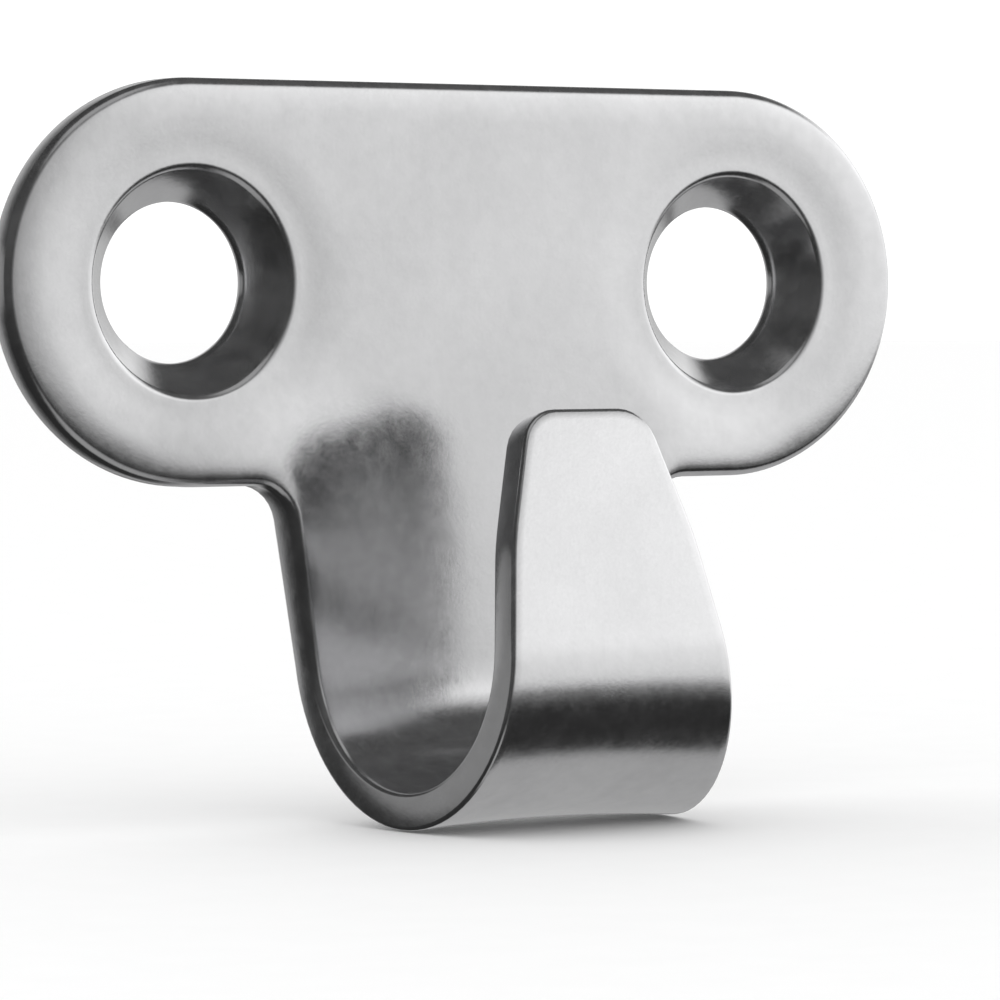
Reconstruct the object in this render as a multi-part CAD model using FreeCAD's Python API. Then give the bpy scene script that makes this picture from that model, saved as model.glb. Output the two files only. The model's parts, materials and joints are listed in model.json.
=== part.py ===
"""Pressed stainless lacing hook: a round-ended plate with two screw seats and an upturned hook.

The real hook is one stamping, so its named sections meet face to face and never overlap:
base_plate, hook_shank, hook_bend and hook_lip.

Frame, in millimetres: +Z up, +X along the plate, -Y out of the wall. The origin is on the
mounting plane, midway between the two screw holes. The screw seats are pressed back through
the sheet, so their flat rings lie on the mounting plane and the sheet stands just clear of it.
"""
import FreeCAD, Part
import math
import os

# Plate
plate_length = 37.2
plate_height = 14.1
end_length = 7.3           # each end is half an ellipse, a little longer than a half circle
plate_depth = 2.0          # front face to mounting plane
sheet = 1.3                # thickness of the stainless sheet
front_round = 0.35         # radius of the plate's front edge
back_round = 0.2           # radius of its back edge

# Screw seats, one each side of the centre
hole_pitch = 22.7
seat_mouth_radius = 3.95   # takes an 8 mm countersunk head
hole_radius = 2.8
land_length = 0.4          # straight wall at the bottom of each seat
seat_back_radius = 3.8     # flat ring at the back of each seat

# Hook: a tongue that leaves the plate's lower edge, turns under, and rises in front
tongue_half_width = 7.81   # at the plate's lower edge
taper = 0.17               # half-width lost for each millimetre along the tongue
root_fillet = 1.5          # hollow corner between plate and tongue
shank_end_z = -13.53       # where the bend begins
joint_z = -9.8             # where base_plate hands over to hook_shank
bend_radius = 4.06         # inside of the hook
lip_lean = 14.4            # degrees that the lip leans back towards the plate
lip_length = 8.1
lip_shoulder = 3.6         # height on the lip from which it narrows faster
lip_taper = 0.3            # half-width lost for each millimetre above the shoulder
shoulder_round = 12.0      # radius that eases the change of taper
tip_radius = 1.5           # corners of the lip's top
lip_edge_round = 0.15
bend_bow = 0.2             # how far the bend's middle stands in from its edges
bend_steps = 10

half_height = plate_height / 2
end_x = plate_length / 2 - end_length
front_y = -plate_depth
back_y = front_y + sheet
bend_sweep = math.radians(180 + lip_lean)
flank_slope = math.hypot(1, taper)
far = 100.0


def point(x, y, z):
    return FreeCAD.Vector(x, y, z)


def half_width(path_length):
    """Half-width of the tongue, a distance along its front face from the plate's lower edge."""
    return tongue_half_width - taper * path_length


def line(start, end):
    return Part.LineSegment(start, end).toShape()


def arc(start, middle, end):
    return Part.Arc(start, middle, end).toShape()


def arc_about(centre, radius, start_degrees, end_degrees):
    """An arc in the XZ plane, by its centre, radius and two angles from +X towards +Z."""
    def at(degrees):
        angle = math.radians(degrees)
        return centre + point(radius * math.cos(angle), 0, radius * math.sin(angle))
    return arc(at(start_degrees), at((start_degrees + end_degrees) / 2), at(end_degrees))


def plate_end(side):
    """The half-ellipse at the right (1) or left (-1) end of the plate."""
    centre = point(side * end_x, 0, 0)
    ellipse = Part.Ellipse(centre + point(end_length, 0, 0), centre + point(0, 0, half_height), centre)
    start = -math.pi / 2 if side > 0 else math.pi / 2
    return Part.ArcOfEllipse(ellipse, start, start + math.pi).toShape()


def flat_blank():
    """Plate and straight tongue as a sharp-edged slab of the sheet."""
    fillet_z = -half_height - root_fillet
    fillet_x = half_width(root_fillet) + root_fillet * flank_slope
    turn = math.degrees(math.atan(taper))
    bottom_x = half_width(-half_height - shank_end_z)
    left_corner = arc_about(point(-fillet_x, 0, fillet_z), root_fillet, 90, turn)
    right_corner = arc_about(point(fillet_x, 0, fillet_z), root_fillet, 180 - turn, 90)
    bottom_left = point(-bottom_x, 0, shank_end_z)
    bottom_right = point(bottom_x, 0, shank_end_z)
    edges = [
        plate_end(1),
        line(point(end_x, 0, half_height), point(-end_x, 0, half_height)),
        plate_end(-1),
        line(point(-end_x, 0, -half_height), point(-fillet_x, 0, -half_height)),
        left_corner,
        line(left_corner.Vertexes[-1].Point, bottom_left),
        line(bottom_left, bottom_right),
        line(bottom_right, right_corner.Vertexes[0].Point),
        right_corner,
        line(point(fillet_x, 0, -half_height), point(end_x, 0, -half_height)),
    ]
    outline = Part.Wire(Part.__sortEdges__(edges))
    slab = Part.Face(outline).extrude(point(0, sheet, 0))
    slab.translate(point(0, front_y, 0))
    return slab


def rounded(slab, face_y, radius):
    """Round one face's edges, but not the straight one where the tongue runs into the bend."""
    chosen = []
    for edge in slab.Edges:
        box = edge.BoundBox
        on_face = abs(box.YMin - face_y) < 1e-6 and abs(box.YMax - face_y) < 1e-6
        at_bend = box.ZMax < shank_end_z + 1e-6
        if on_face and not at_bend:
            chosen.append(edge)
    return slab.makeFillet(radius, chosen)


def revolved_about_hole(profile, hole_x):
    """Turn a closed (radius, y) profile about the axis of the screw hole at hole_x."""
    corners = [point(radius, y, 0) for radius, y in profile]
    corners.append(corners[0])
    solid = Part.Face(Part.makePolygon(corners)).revolve(point(0, 0, 0), point(0, 1, 0), 360)
    solid.translate(point(hole_x, 0, 0))
    return solid


def seat_wall(hole_x):
    """The back of a screw seat: metal pushed back from the sheet to the mounting plane."""
    shoulder = seat_back_radius + (0 - back_y) * 0.7
    return revolved_about_hole([(0, back_y), (shoulder, back_y), (seat_back_radius, 0), (0, 0)], hole_x)


def seat_hole(hole_x):
    """The space in a screw seat: a rolled mouth, a cone for the screw's head, a straight hole."""
    mouth_roll = 0.25
    return revolved_about_hole([
        (0, front_y - 1),
        (seat_mouth_radius + mouth_roll, front_y - 1),
        (seat_mouth_radius + mouth_roll, front_y),
        (seat_mouth_radius, front_y + mouth_roll),
        (hole_radius, -land_length),
        (hole_radius, 1),
        (0, 1),
    ], hole_x)


def flat_part():
    """Plate and straight tongue as one piece, before it is divided at joint_z."""
    body = rounded(flat_blank(), front_y, front_round)
    body = rounded(body, back_y, back_round)
    for side in (-1, 1):
        body = body.fuse(seat_wall(side * hole_pitch / 2))
    for side in (-1, 1):
        body = body.cut(seat_hole(side * hole_pitch / 2))
    return body.removeSplitter()


def slab_between(low_z, high_z):
    return Part.makeBox(2 * far, 2 * far, high_z - low_z, point(-far, -far, low_z))


def section(path_point, depth_direction, width, bow, front_radius, back_radius):
    """A cross-section of the tongue: flat or bowed faces, straight sides, rounded corners."""
    def at(x, depth):
        return path_point + point(x, 0, 0) + depth_direction * depth

    def corner(sign, depth, radius, inward):
        """From the face to the side, round the corner at the given depth."""
        leg = radius * (1 - math.sqrt(0.5))
        return (at(sign * (width - radius), depth), at(sign * (width - leg), depth + inward * leg),
                at(sign * width, depth + inward * radius))

    right_front = corner(1, 0, front_radius, 1)
    right_back = corner(1, sheet, back_radius, -1)
    left_back = corner(-1, sheet, back_radius, -1)
    left_front = corner(-1, 0, front_radius, 1)

    def face(start, end, depth):
        curve = Part.BezierCurve()
        curve.setPoles([start, at(0, depth - 2 * bow), end])
        return curve.toShape()

    return Part.Wire([
        face(left_front[0], right_front[0], 0),
        arc(*right_front),
        line(right_front[2], right_back[2]),
        arc(*reversed(right_back)),
        face(right_back[0], left_back[0], sheet),
        arc(*left_back),
        line(left_back[2], left_front[2]),
        arc(*reversed(left_front)),
    ])


def bend_section(share):
    """The cross-section at a share, 0 to 1, of the way round the bend."""
    angle = share * bend_sweep
    depth_direction = point(0, math.cos(angle), -math.sin(angle))
    centre = point(0, front_y - bend_radius, shank_end_z)
    path = -half_height - shank_end_z + bend_radius * angle
    front_radius = front_round + share * (lip_edge_round - front_round)
    back_radius = back_round + share * (lip_edge_round - back_round)
    bow = bend_bow * math.sin(math.pi * share) ** 2
    return section(centre + depth_direction * bend_radius, depth_direction, half_width(path),
                   bow, front_radius, back_radius)


def hook_bend():
    sections = [bend_section(step / bend_steps) for step in range(bend_steps + 1)]
    return Part.makeLoft(sections, True, False)


def hook_lip():
    """The lip, drawn upright with its front face on y = 0 and then leaned into place."""
    path = -half_height - shank_end_z + bend_radius * bend_sweep
    low = half_width(path)
    shoulder = half_width(path + lip_shoulder)
    high = shoulder - lip_taper * (lip_length - lip_shoulder)
    outline = Part.makePolygon([
        point(-low, 0, 0), point(low, 0, 0),
        point(shoulder, 0, lip_shoulder), point(high, 0, lip_length),
        point(-high, 0, lip_length), point(-shoulder, 0, lip_shoulder),
        point(-low, 0, 0),
    ])
    lip = Part.Face(outline).extrude(point(0, -sheet, 0))
    for height, radius in ((lip_shoulder, shoulder_round), (lip_length, tip_radius)):
        corners = [edge for edge in lip.Edges
                   if abs(edge.BoundBox.Center.z - height) < 1e-6 and edge.BoundBox.XLength < 1e-6]
        lip = lip.makeFillet(radius, corners)
    rims = [edge for edge in lip.Edges
            if edge.BoundBox.YLength < 1e-6 and edge.BoundBox.ZMax > 1e-6]
    lip = lip.makeFillet(lip_edge_round, rims)
    lip.rotate(point(0, 0, 0), point(1, 0, 0), -lip_lean)
    lean = math.radians(lip_lean)
    lip.translate(point(0, front_y - bend_radius - bend_radius * math.cos(lean),
                        shank_end_z + bend_radius * math.sin(lean)))
    return lip


def only_solid(shape):
    """The single solid in the result of a boolean operation."""
    assert len(shape.Solids) == 1, len(shape.Solids)
    return shape.Solids[0]


flat = flat_part()
nodes = {
    "base_plate": only_solid(flat.common(slab_between(joint_z, far))),
    "hook_shank": only_solid(flat.common(slab_between(shank_end_z, joint_z))),
    "hook_bend": only_solid(hook_bend()),
    "hook_lip": only_solid(hook_lip()),
}

os.makedirs("parts", exist_ok=True)
for name, shape in nodes.items():
    assert shape.isValid(), name
    shape.exportStep(f"parts/{name}.step")
    box = shape.BoundBox
    print(f"{name}: {shape.Volume:.1f} mm3, x {box.XMin:.2f}..{box.XMax:.2f}, "
          f"y {box.YMin:.2f}..{box.YMax:.2f}, z {box.ZMin:.2f}..{box.ZMax:.2f}")
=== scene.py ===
"""A pressed stainless lacing hook: one continuous skin around the CAD frame, in a soft studio.

The skin is drawn as a flat blank, as the sheet is before it is bent, and then folded into shape.
Blank positions are (x, v, depth) in millimetres: x across, v down the sheet (v = z above the
bend) and depth behind the front face.
"""
import json
import math

import bmesh
import bpy
from mathutils import Matrix, Vector
from mathutils.geometry import delaunay_2d_cdt


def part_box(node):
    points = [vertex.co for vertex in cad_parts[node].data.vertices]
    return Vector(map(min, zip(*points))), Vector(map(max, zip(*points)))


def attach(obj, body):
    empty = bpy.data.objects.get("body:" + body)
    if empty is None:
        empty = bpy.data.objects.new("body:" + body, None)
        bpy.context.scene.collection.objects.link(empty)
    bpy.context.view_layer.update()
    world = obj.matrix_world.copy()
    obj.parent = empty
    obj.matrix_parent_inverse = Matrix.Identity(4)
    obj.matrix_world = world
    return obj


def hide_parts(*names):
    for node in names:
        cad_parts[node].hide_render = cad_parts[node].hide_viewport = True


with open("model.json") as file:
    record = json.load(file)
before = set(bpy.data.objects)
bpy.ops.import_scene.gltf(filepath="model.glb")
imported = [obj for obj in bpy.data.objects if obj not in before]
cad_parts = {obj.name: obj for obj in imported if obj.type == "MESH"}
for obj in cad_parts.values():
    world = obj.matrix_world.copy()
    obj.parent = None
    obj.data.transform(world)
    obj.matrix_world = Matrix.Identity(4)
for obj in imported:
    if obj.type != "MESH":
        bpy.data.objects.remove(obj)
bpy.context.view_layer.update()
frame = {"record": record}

MM = 0.001
NODES = ("base_plate", "hook_shank", "hook_bend", "hook_lip")


def box_mm(node):
    low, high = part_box(node)
    return [c / MM for c in low], [c / MM for c in high]


def mount(name):
    return next(m for m in frame["record"]["mounts"] if m["name"] == name)


# Sizes that the frame fixes
plate_low, plate_high = box_mm("base_plate")
shank_low, _ = box_mm("hook_shank")
bend_low, _ = box_mm("hook_bend")
HALF_LENGTH = plate_high[0]
HALF_HEIGHT = plate_high[2]
FRONT_Y = plate_low[1]
PLATE_DEPTH = -FRONT_Y
BEND_Z = shank_low[2]
HOLE_PITCH = mount("screw_holes")["dims"]["spacing_x_mm"]
HOLE_RADIUS = mount("screw_holes")["dims"]["hole_r_mm"]

# The sheet and its outline
SHEET = 1.3
END_LENGTH = 7.3           # the plate's ends are half ellipses, this long
HALF_WIDTH = 7.81          # of the tongue, at the plate's lower edge
TAPER = 0.17               # half-width lost for each millimetre along the tongue
ROOT_FILLET = 1.5          # hollow corner between plate and tongue
LIP_SHOULDER = 3.6         # height on the lip from which it narrows faster
LIP_TAPER = 0.3
SHOULDER_EASE = 0.75       # half the length over which the taper changes
LIP_LENGTH = 8.1
TIP_RADIUS = 1.5

# The bend
BEND_RADIUS = (FRONT_Y - bend_low[1] - SHEET) / 2
LIP_LEAN = 14.4            # degrees that the lip leans back towards the plate
SWEEP = math.radians(180 + LIP_LEAN)
BEND_BOW = 0.2             # how far the bend's middle stands in from its edges

# Its edges
FRONT_ROUND = 0.35
BACK_ROUND = 0.2
LIP_ROUND = 0.15
SOFT_WIDTH = 1.1           # width of the soft shoulder inside the plate's front edge
SOFT_DROP = 0.09
HOOK_SOFT_WIDTH = 0.4      # and inside the tongue's
HOOK_SOFT_DROP = 0.008
SOFT_FADE = 1.6            # length over which the first becomes the second
BACK_MARGIN = 0.25         # flat strip inside the rounded back edge

# Screw seats
SEAT_MOUTH = 3.95
SEAT_ROLL = 0.35           # radius of the rolled mouth
SEAT_BACK = 3.8
LAND = 0.4                 # straight wall at the bottom
SEAT_RINGS = (5.1, 4.9, 4.7, 4.5, 4.35)      # radii of the rings of mesh round the mouth

# How forming has moved the plate's front face
SEAT_DRAW = 0.07           # drawn in round a seat's mouth
SEAT_DRAW_RADIUS = 5.9     # flat again from here
SEAT_DRAW_FADE = 1.6
ROOT_RISE = 0.32           # proud at the two corners where the tongue leaves the plate
ROOT_RISE_RADIUS = 6.0
ROOT_CORNER = (HALF_WIDTH + 0.8, -HALF_HEIGHT - 0.9)

# Spacing of the mesh
STEP = 0.32                # along an outline and down the tongue
ACROSS = 12                # steps from the tongue's middle to its side
GRID = 0.5                 # on the plate
SEAT_SIDES = 96
MARGIN = 0.3               # kept clear inside an outline

BEND_END = BEND_Z - BEND_RADIUS * SWEEP
TIP_V = BEND_END - LIP_LENGTH
SHOULDER_V = BEND_END - LIP_SHOULDER
FLANK = math.hypot(1, TAPER)
END_X = HALF_LENGTH - END_LENGTH


def smooth(t):
    """0 to 1, level at both ends."""
    t = min(max(t, 0.0), 1.0)
    return t * t * (3 - 2 * t)


def mix(a, b, t):
    return a + (b - a) * t


def half_width(v):
    """Half-width of the tongue between its root fillets and the corners of its tip."""
    past = min(max(SHOULDER_V - v, -SHOULDER_EASE), SHOULDER_EASE)
    beyond = max(SHOULDER_V - v - SHOULDER_EASE, 0)
    narrowing = (past + SHOULDER_EASE) ** 2 / (4 * SHOULDER_EASE) + beyond
    return HALF_WIDTH - TAPER * (-HALF_HEIGHT - v) - (LIP_TAPER - TAPER) * narrowing


def half_width_slope(v):
    return (half_width(v + 0.01) - half_width(v - 0.01)) / 0.02


# ---------------------------------------------------------------- folding the blank

def drawn_in(x, v):
    """How far forming the seats and the hook has moved the front face back at a place on it."""
    from_seat = math.hypot(abs(x) - HOLE_PITCH / 2, v)
    from_root = math.hypot(abs(x) - ROOT_CORNER[0], v - ROOT_CORNER[1])
    return (SEAT_DRAW * smooth((SEAT_DRAW_RADIUS - from_seat) / SEAT_DRAW_FADE)
            - ROOT_RISE * smooth(1 - from_root / ROOT_RISE_RADIUS))


def fold(x, v, depth):
    """The place in space, in metres, of a point of the flat blank."""
    depth += drawn_in(x, v) * max(1 - depth / SHEET, 0)
    run = BEND_Z - v
    if run <= 0:
        return Vector((x, FRONT_Y + depth, v)) * MM
    angle = min(run / BEND_RADIUS, SWEEP)
    share = angle / SWEEP
    across = min(abs(x) / half_width(v), 1.0)
    bow = BEND_BOW * math.sin(math.pi * share) ** 2 * (1 - across ** 2)
    radius = BEND_RADIUS + depth - bow
    past = run - BEND_RADIUS * angle
    y = FRONT_Y - BEND_RADIUS + radius * math.cos(angle) - past * math.sin(angle)
    z = BEND_Z - radius * math.sin(angle) - past * math.cos(angle)
    return Vector((x, y, z)) * MM


# ---------------------------------------------------------------- the blank's outline

def arc(centre, radius, start, end, hollow=False):
    """Points and outward normals along an arc; hollow where the metal is outside the circle."""
    count = max(4, round(abs(math.radians(end - start)) * radius / STEP))
    side = -1 if hollow else 1
    result = []
    for i in range(count + 1):
        angle = math.radians(mix(start, end, i / count))
        normal = Vector((math.cos(angle), math.sin(angle)))
        result.append((Vector(centre) + normal * radius, normal * side))
    return result


def plate_end(side):
    """Points and normals round the half-ellipse at one end of the plate, anticlockwise."""
    count = round(math.pi * HALF_HEIGHT / STEP)
    result = []
    for i in range(count + 1):
        angle = math.pi * (i / count - 0.5) + (0 if side > 0 else math.pi)
        c, s = math.cos(angle), math.sin(angle)
        normal = Vector((c / END_LENGTH, s / HALF_HEIGHT)).normalized()
        result.append((Vector((side * END_X + END_LENGTH * c, HALF_HEIGHT * s)), normal))
    return result


def straight(start, end, normal):
    """Points strictly between two ends, with one normal."""
    start, end = Vector(start), Vector(end)
    count = max(2, round((end - start).length / STEP))
    return [(start.lerp(end, i / count), Vector(normal)) for i in range(1, count)]


def flank(start_v, end_v, side):
    """Points strictly between two places down the tongue's side."""
    count = round(abs(start_v - end_v) / STEP)
    result = []
    for i in range(1, count):
        v = mix(start_v, end_v, i / count)
        normal = Vector((side, -half_width_slope(v))).normalized()
        result.append((Vector((side * half_width(v), v)), normal))
    return result


def blank_outline():
    """The whole outline, anticlockwise from the plate's lower right, as (point, normal)."""
    root_turn = math.degrees(math.atan(TAPER))
    tip_turn = math.degrees(math.atan(LIP_TAPER))
    fillet_v = -HALF_HEIGHT - ROOT_FILLET
    fillet_x = half_width(fillet_v) + ROOT_FILLET * FLANK
    tip_v = TIP_V + TIP_RADIUS
    tip_x = half_width(tip_v) - TIP_RADIUS * math.hypot(1, LIP_TAPER)
    right_end = plate_end(1)
    left_end = plate_end(-1)
    left_fillet = arc((-fillet_x, fillet_v), ROOT_FILLET, 90, root_turn, hollow=True)
    left_tip = arc((-tip_x, tip_v), TIP_RADIUS, 180 + tip_turn, 270)
    right_tip = arc((tip_x, tip_v), TIP_RADIUS, -90, -tip_turn)
    right_fillet = arc((fillet_x, fillet_v), ROOT_FILLET, 180 - root_turn, 90, hollow=True)
    return (
        right_end
        + straight(right_end[-1][0], left_end[0][0], (0, 1))
        + left_end
        + straight(left_end[-1][0], left_fillet[0][0], (0, -1))
        + left_fillet
        + flank(left_fillet[-1][0].y, left_tip[0][0].y, -1)
        + left_tip
        + straight(left_tip[-1][0], right_tip[0][0], (0, -1))
        + right_tip
        + flank(right_tip[-1][0].y, right_fillet[0][0].y, 1)
        + right_fillet
        + straight(right_fillet[-1][0], right_end[0][0], (0, -1))
    )


# ---------------------------------------------------------------- profiles of edge and seat

def lip_share(v):
    """0 on the plate, 1 from the middle of the bend to the tip."""
    lead = 3
    return smooth((BEND_Z + lead - v) / (BEND_RADIUS * SWEEP / 2 + lead))


def edge_profile(v):
    """(inset, depth) from the front face, over the soft shoulder and round to the back face."""
    lip = lip_share(v)
    front = mix(FRONT_ROUND, LIP_ROUND, lip)
    back = mix(BACK_ROUND, LIP_ROUND, lip)
    hook = smooth((-HALF_HEIGHT + 0.6 - v) / SOFT_FADE)
    width = mix(SOFT_WIDTH, HOOK_SOFT_WIDTH, hook)
    drop = mix(SOFT_DROP, HOOK_SOFT_DROP, hook)
    start = math.atan(2 * drop / width)
    profile = []
    for i in range(6):
        t = i / 6
        profile.append((front * (1 - math.sin(start)) + width * (1 - t), drop * t * t))
    for i in range(8):
        q = mix(start, math.pi / 2, i / 7)
        profile.append((front * (1 - math.sin(q)), drop + front * (math.cos(start) - math.cos(q))))
    for i in range(5):
        q = math.radians(90 * i / 4)
        profile.append((back * (1 - math.cos(q)), SHEET - back * (1 - math.sin(q))))
    profile.append((back + BACK_MARGIN, SHEET))
    return profile


def seat_profile():
    """(radius, depth) from the plate's face, through the seat, to the hollow behind the sheet."""
    lean = math.atan2(SEAT_MOUTH - HOLE_RADIUS, PLATE_DEPTH - LAND)
    rings = [(radius, 0.0) for radius in SEAT_RINGS]
    for i in range(8):
        q = (math.pi / 2 - lean) * i / 7
        rings.append((SEAT_MOUTH + SEAT_ROLL * (0.55 - math.sin(q)), SEAT_ROLL * (1 - math.cos(q))))
    corner = 0.03
    ease = 0.1
    rings += [
        (HOLE_RADIUS + 0.12, PLATE_DEPTH - LAND - 0.12 / math.tan(lean)),
        (HOLE_RADIUS + corner, PLATE_DEPTH - LAND - 0.02),
        (HOLE_RADIUS, PLATE_DEPTH - LAND + ease),
        (HOLE_RADIUS, PLATE_DEPTH - ease),
        (HOLE_RADIUS + corner, PLATE_DEPTH - corner),
        (HOLE_RADIUS + ease, PLATE_DEPTH),
        (SEAT_BACK - ease, PLATE_DEPTH),
        (SEAT_BACK, PLATE_DEPTH - corner),
        (SEAT_BACK + 0.06, PLATE_DEPTH - ease),
        (SEAT_BACK + 0.44, SHEET + 0.12),
        (SEAT_BACK + 0.53, SHEET + corner),
        (SEAT_BACK + 0.7, SHEET),
    ]
    return rings


# ---------------------------------------------------------------- building the skin

def over_seat(p, radius):
    """True if a point of the blank lies within a radius of either seat's centre."""
    return any((p - Vector((side * HOLE_PITCH / 2, 0))).length < radius for side in (-1, 1))


def within(p, inset):
    """True if a point of the blank lies inside its outline drawn in by inset."""
    past_end = max(abs(p.x) - END_X, 0) / (END_LENGTH - inset)
    if p.y > -HALF_HEIGHT + inset:
        return math.hypot(past_end, p.y / (HALF_HEIGHT - inset)) < 1
    return abs(p.x) < half_width(p.y) - MARGIN * FLANK and p.y > TIP_V + MARGIN


def inside_points():
    """Points to fill a face with: rows across the tongue, and a grid on the plate."""
    points = []
    v = -HALF_HEIGHT - ROOT_FILLET
    while v > TIP_V + 2 * MARGIN:
        width = half_width(v)
        if v < TIP_V + TIP_RADIUS:
            lost = TIP_V + TIP_RADIUS - v
            width -= TIP_RADIUS - math.sqrt(TIP_RADIUS ** 2 - lost ** 2)
        for i in range(1 - ACROSS, ACROSS):
            points.append(Vector((width * i / ACROSS, v)))
        v -= STEP
    rows = int(HALF_HEIGHT / GRID)
    columns = int(HALF_LENGTH / GRID)
    for row in range(-rows, rows + 1):
        for column in range(-columns, columns + 1):
            points.append(Vector(((column + 0.5 * (row % 2)) * GRID, row * GRID)))
    return points


def fill(bm, loops, depth, seat_radius, inset, upward):
    """Fill between an outline loop and the two seat loops with well-shaped triangles."""
    flat = []
    edges = []
    verts = []
    for loop in loops:
        start = len(flat)
        for p, vert in loop:
            flat.append(p.copy())
            verts.append(vert)
        edges += [(start + i, start + (i + 1) % len(loop)) for i in range(len(loop))]
    boundary = [p for p, _ in loops[0]]
    for p in inside_points():
        if over_seat(p, seat_radius + MARGIN) or not within(p, inset):
            continue
        if min((p - q).length_squared for q in boundary) < (0.6 * STEP) ** 2:
            continue
        flat.append(p)
        verts.append(bm.verts.new(fold(p.x, p.y, depth)))
    points, _, faces, origins, _, _ = delaunay_2d_cdt(flat, edges, [], 1, 1e-5)
    for face in faces:
        middle = sum((points[i] for i in face), Vector((0, 0))) / 3
        if over_seat(middle, seat_radius):
            continue
        corners = [verts[origins[i][0]] for i in face]
        if not upward:
            corners.reverse()
        bm.faces.new(corners)


def loop_of(bm, points):
    """A loop of (point of the blank, vertex) pairs, from (point, depth) pairs."""
    return [(p, bm.verts.new(fold(p.x, p.y, depth))) for p, depth in points]


def bridge(bm, outer, inner):
    """Quads between two loops with the same number of corners."""
    count = len(outer)
    for i in range(count):
        j = (i + 1) % count
        bm.faces.new((outer[i][1], outer[j][1], inner[j][1], inner[i][1]))


def build_rim(bm):
    """The cut edge all round the blank, as loops from the front face to the back face."""
    outline = blank_outline()
    profiles = [edge_profile(p.y) for p, _ in outline]
    loops = []
    for k in range(len(profiles[0])):
        loops.append(loop_of(bm, [(p - normal * profile[k][0], profile[k][1])
                                  for (p, normal), profile in zip(outline, profiles)]))
    for front, behind in zip(loops, loops[1:]):
        bridge(bm, behind, front)
    return loops


def build_seat(bm, side):
    """One screw seat, as rings from the front face to the back face."""
    rings = []
    for radius, depth in seat_profile():
        ring = []
        for i in range(SEAT_SIDES):
            angle = 2 * math.pi * i / SEAT_SIDES
            x = side * HOLE_PITCH / 2 + radius * math.cos(angle)
            ring.append((Vector((x, radius * math.sin(angle))), depth))
        rings.append(loop_of(bm, ring))
    for front, behind in zip(rings, rings[1:]):
        bridge(bm, front, behind)
    return rings


def build_skin():
    bm = bmesh.new()
    rim = build_rim(bm)
    seats = [build_seat(bm, side) for side in (-1, 1)]
    front_radius = seat_profile()[0][0]
    back_radius = seat_profile()[-1][0]
    fill(bm, [rim[0]] + [rings[0] for rings in seats], 0.0,
         front_radius, FRONT_ROUND + SOFT_WIDTH, True)
    fill(bm, [rim[-1]] + [rings[-1] for rings in seats], SHEET,
         back_radius, BACK_ROUND + BACK_MARGIN, False)
    bmesh.ops.recalc_face_normals(bm, faces=bm.faces)
    mesh = bpy.data.meshes.new("lacing_hook")
    bm.to_mesh(mesh)
    bm.free()
    for polygon in mesh.polygons:
        polygon.use_smooth = True
    skin = bpy.data.objects.new("lacing_hook", mesh)
    bpy.context.scene.collection.objects.link(skin)
    weighted = skin.modifiers.new("weighted_normals", "WEIGHTED_NORMAL")
    weighted.mode = "FACE_AREA"
    return skin


# ---------------------------------------------------------------- material

class Nodes:
    """A short way to write a node tree."""

    def __init__(self, tree):
        self.tree = tree
        tree.nodes.clear()

    def add(self, kind, inputs=None, **settings):
        node = self.tree.nodes.new(kind)
        for key, value in settings.items():
            setattr(node, key, value)
        for key, value in (inputs or {}).items():
            if isinstance(value, bpy.types.NodeSocket):
                self.tree.links.new(value, node.inputs[key])
            else:
                node.inputs[key].default_value = value
        return node

    def math(self, operation, first, *others):
        """One operation along a row of values, from left to right."""
        for other in others:
            node = self.add("ShaderNodeMath", {0: first, 1: other}, operation=operation)
            first = node.outputs[0]
        return first

    def step(self, value, start, end):
        """0 at start, 1 at end, level at both."""
        node = self.add("ShaderNodeMapRange", {"Value": value, "From Min": start, "From Max": end},
                        interpolation_type="SMOOTHSTEP")
        return node.outputs[0]

    def curve(self, value, points):
        """A level through (value, level) points, joined by smooth steps."""
        total = points[0][1]
        for (start, low), (end, high) in zip(points, points[1:]):
            if high != low:
                part = self.math("MULTIPLY", self.step(value, start, end), high - low)
                total = self.math("ADD", part, total)
        return total

    def noise(self, where, scale, detail, roughness=0.5):
        node = self.add("ShaderNodeTexNoise", {"Vector": where, "Scale": scale, "Detail": detail,
                                               "Roughness": roughness})
        return node.outputs["Fac"]

    def spread(self, noise, low, high):
        """The middle of a noise's range, spread from low to high."""
        node = self.add("ShaderNodeMapRange", {"Value": noise, "From Min": 0.3, "From Max": 0.7,
                                               "To Min": low, "To Max": high})
        return node.outputs[0]


def stainless():
    """Tumbled stainless: fine grain, and mottled and cloudy patches in tone and in gloss."""
    material = bpy.data.materials.new("tumbled_stainless")
    material.use_nodes = True
    n = Nodes(material.node_tree)
    where = n.add("ShaderNodeTexCoord").outputs["Object"]
    per_mm = 1 / MM
    grain = n.noise(where, 9 * per_mm, 5, 0.6)
    mottle = n.noise(where, 1.6 * per_mm, 4, 0.55)
    cloud = n.noise(where, 0.25 * per_mm, 3)
    shade = n.math("ADD", n.spread(mottle, -0.03, 0.03), n.spread(cloud, 0.68, 0.74))
    blue = n.math("MULTIPLY", shade, 1.01)
    colour = n.add("ShaderNodeCombineColor", {0: shade, 1: shade, 2: blue})
    rough = n.math("ADD", n.spread(mottle, 0.17, 0.23), n.spread(grain, -0.03, 0.03))
    height = n.math("ADD", n.math("MULTIPLY", grain, 0.4), mottle)
    bump = n.add("ShaderNodeBump", {"Strength": 0.2, "Distance": 0.02 * MM, "Height": height})
    shader = n.add("ShaderNodeBsdfPrincipled", {"Base Color": colour.outputs[0], "Roughness": rough,
                                                "Metallic": 1.0, "Normal": bump.outputs[0]})
    n.add("ShaderNodeOutputMaterial", {"Surface": shader.outputs[0]})
    return material


# ---------------------------------------------------------------- studio

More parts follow.
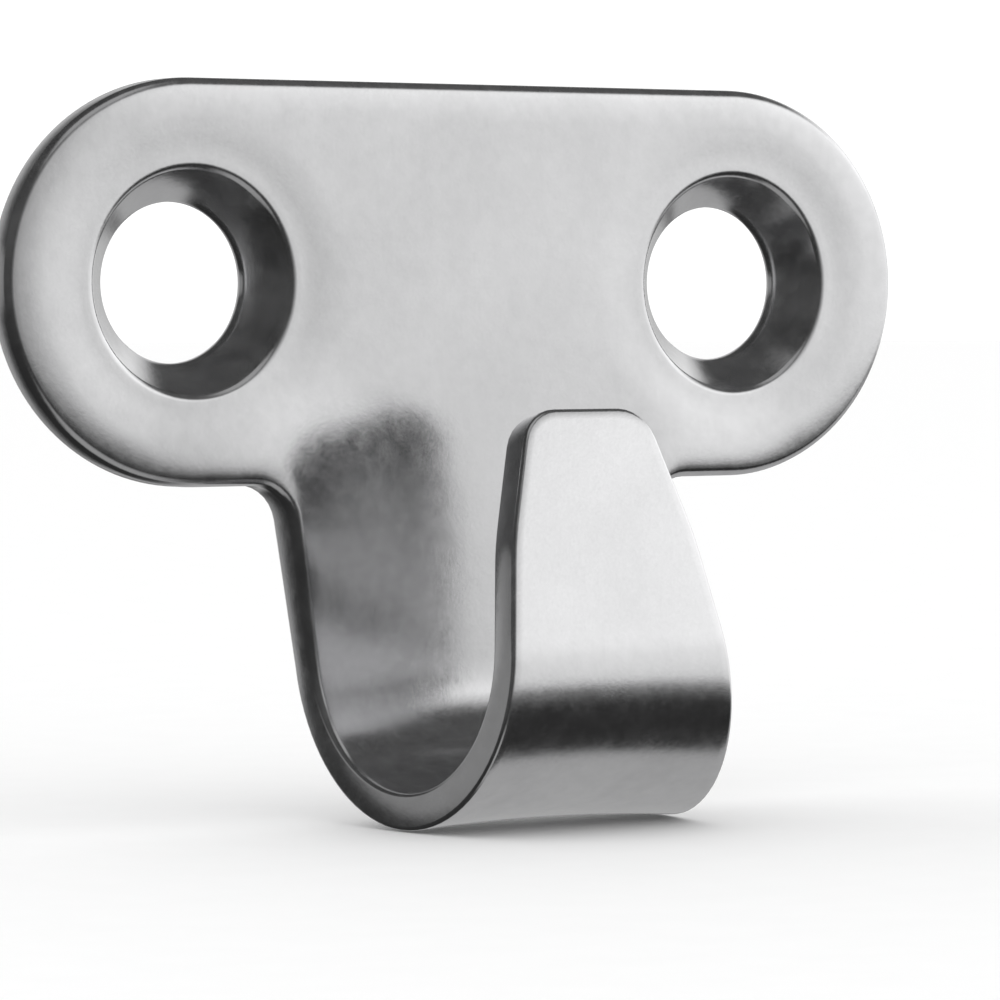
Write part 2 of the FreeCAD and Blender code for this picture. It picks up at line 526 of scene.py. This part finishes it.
def plain_floor():
    """A wide pale floor just under the hook, which reflections don't see."""
    radius = 4.0
    gap = 0.05 * MM
    bm = bmesh.new()
    bmesh.ops.create_circle(bm, cap_ends=True, segments=128, radius=radius)
    mesh = bpy.data.meshes.new("floor")
    bm.to_mesh(mesh)
    bm.free()
    floor = bpy.data.objects.new("floor", mesh)
    floor.location = (0, 0, bend_low[2] * MM - gap)
    bpy.context.scene.collection.objects.link(floor)
    material = bpy.data.materials.new("pale_floor")
    material.use_nodes = True
    n = Nodes(material.node_tree)
    where = n.add("ShaderNodeTexCoord").outputs["Object"]
    tone = n.spread(n.noise(where, 400, 3), 0.92, 0.93)
    colour = n.add("ShaderNodeCombineColor", {0: tone, 1: tone, 2: tone})
    shader = n.add("ShaderNodeBsdfPrincipled", {"Base Color": colour.outputs[0], "Roughness": 0.8})
    n.add("ShaderNodeOutputMaterial", {"Surface": shader.outputs[0]})
    mesh.materials.append(material)
    floor.visible_glossy = False


def studio_world():
    """Even pale light, and broad soft boxes that only reflections see.

    Each box is shaped by direction: x to the right, y towards the wall and z up.
    """
    even_level = 1.15
    below_level = 0.43
    left_level = 0.22
    behind_level = 0.42
    steep_level = 0.35
    room_level = 0.03

    world = bpy.data.worlds.new("studio")
    bpy.context.scene.world = world
    world.use_nodes = True
    n = Nodes(world.node_tree)
    look = n.add("ShaderNodeTexCoord").outputs["Generated"]
    x, y, z = n.add("ShaderNodeSeparateXYZ", {0: look}).outputs

    # The main box: level with the part, brightest on the right
    main = n.math(
        "MULTIPLY",
        n.curve(x, [(-0.3, 0.02), (-0.12, 0.13), (0.2, 0.4), (0.45, 0.72), (0.6, 0.9), (1.0, 1.03)]),
        n.curve(z, [(-0.36, 0.0), (-0.22, 0.14), (-0.09, 1.0), (0.1, 1.1), (0.38, 1.4), (0.46, 1.0),
                    (0.62, 0.05)]),
        n.curve(y, [(0.2, 1.0), (0.7, 0.55)]))
    # Low on the right, for the underside of the bend
    below = n.math("MULTIPLY", n.step(z, -0.2, -0.3), n.step(y, -0.36, -0.28), n.step(x, 0.2, 0.45),
                   below_level)
    # A strip on the left, for the cut edges
    left = n.math("MULTIPLY", n.step(x, -0.3, -0.45), n.step(y, 0.2, 0.5),
                  n.curve(z, [(-0.17, 0.0), (-0.08, 1.0), (0.14, 1.0), (0.22, 0.0)]), left_level)
    # Straight behind the wall
    behind = n.math("MULTIPLY", n.step(y, 0.86, 0.95), behind_level)
    # High and low in front
    steep = n.math("MULTIPLY", n.curve(x, [(-0.45, 0.0), (-0.25, 1.0), (0.2, 1.0), (0.4, 0.0)]),
                   n.curve(z, [(-0.65, 1.0), (-0.4, 0.0), (0.5, 0.0), (0.75, 1.0)]),
                   n.step(y, -0.15, -0.3), steep_level)
    total = n.math("ADD", main, below, left, behind, steep, room_level)

    boxes = n.add("ShaderNodeBackground", {"Color": (1, 1, 1, 1), "Strength": total})
    even = n.add("ShaderNodeBackground", {"Color": (1, 1, 1, 1), "Strength": even_level})
    path = n.add("ShaderNodeLightPath")
    both = n.add("ShaderNodeMixShader", {0: path.outputs["Is Glossy Ray"], 1: even.outputs[0],
                                         2: boxes.outputs[0]})
    n.add("ShaderNodeOutputWorld", {"Surface": both.outputs[0]})


def photo_camera():
    """The camera: on the left and a little above, with a long lens."""
    azimuth, elevation, roll = (math.radians(d) for d in (32.8, 1.92, -0.18))
    distance = 192.7
    aim = Vector((1.09, FRONT_Y, -7.74))
    focal_length = 5.406       # in widths of the image
    level = math.cos(elevation)
    back = Vector((-math.sin(azimuth) * level, -math.cos(azimuth) * level, math.sin(elevation)))
    level_right = Vector((math.cos(azimuth), -math.sin(azimuth), 0))
    level_up = back.cross(level_right)
    right = level_right * math.cos(roll) + level_up * math.sin(roll)
    up = level_up * math.cos(roll) - level_right * math.sin(roll)
    data = bpy.data.cameras.new("photo_camera")
    data.sensor_width = 36
    data.lens = focal_length * data.sensor_width
    data.clip_start = 0.005
    data.clip_end = 50
    camera = bpy.data.objects.new("photo_camera", data)
    place = Matrix((right, up, back)).transposed().to_4x4()
    place.translation = (aim + back * distance) * MM
    camera.matrix_world = place
    bpy.context.scene.collection.objects.link(camera)
    bpy.context.scene.camera = camera


bpy.context.scene.view_settings.view_transform = "Standard"
skin = build_skin()
skin.data.materials.append(stainless())
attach(skin, "root")
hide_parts(*NODES)
plain_floor()
studio_world()
photo_camera()
